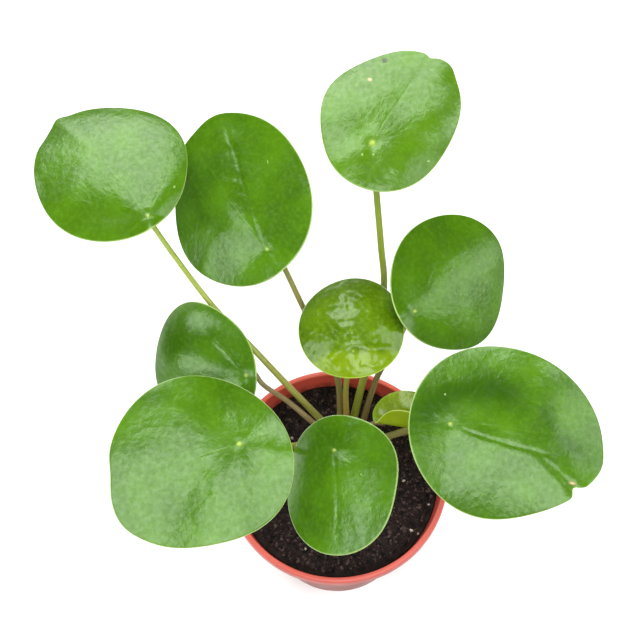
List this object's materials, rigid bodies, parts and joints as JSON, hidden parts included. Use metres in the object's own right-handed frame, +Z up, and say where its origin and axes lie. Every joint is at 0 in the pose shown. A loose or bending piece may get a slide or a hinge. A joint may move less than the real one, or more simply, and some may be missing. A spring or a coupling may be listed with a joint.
{
  "type": "potted pilea plant",
  "caption": "Potted pilea: round glossy leaves on thin arching stalks around a short trunk, in a tapered round plastic nursery pot filled with dark soil.",
  "frame": {"origin": "middle of the pot's foot, on the surface it stands on", "axes": "+Z up; +X to the right and +Y to the back as the picture shows the plant, with the foot's face looking along -Z"},
  "size_m": [0.2348, 0.1949, 0.2065],
  "materials": {
    "pot_plastic": "moulded terracotta-red plastic, satin",
    "soil": "moist dark potting mix of peat and bark crumbs",
    "trunk": "corky grey-brown bark",
    "leaf": "smooth waxy leaf, semi-gloss",
    "young_leaf": "smooth young leaf, glossy",
    "stalk": "smooth fleshy leaf stalk, semi-gloss"
  },
  "bodies": {
    "root": {"pot": "pot_plastic", "soil": "soil", "trunk": "trunk", "leaf_back_left": "leaf", "leaf_back_middle": "leaf", "leaf_back_right": "leaf", "leaf_right": "leaf", "leaf_centre": "young_leaf", "leaf_left": "leaf", "leaf_front_left": "leaf", "leaf_front": "leaf", "leaf_front_right": "leaf", "leaf_folded": "young_leaf", "stalk_back_left": "stalk", "stalk_back_middle": "stalk", "stalk_back_right": "stalk", "stalk_right": "stalk", "stalk_centre": "stalk", "stalk_left": "stalk", "stalk_front_left": "stalk", "stalk_front": "stalk", "stalk_front_right": "stalk", "stalk_folded": "stalk"}
  },
  "joints": []
}
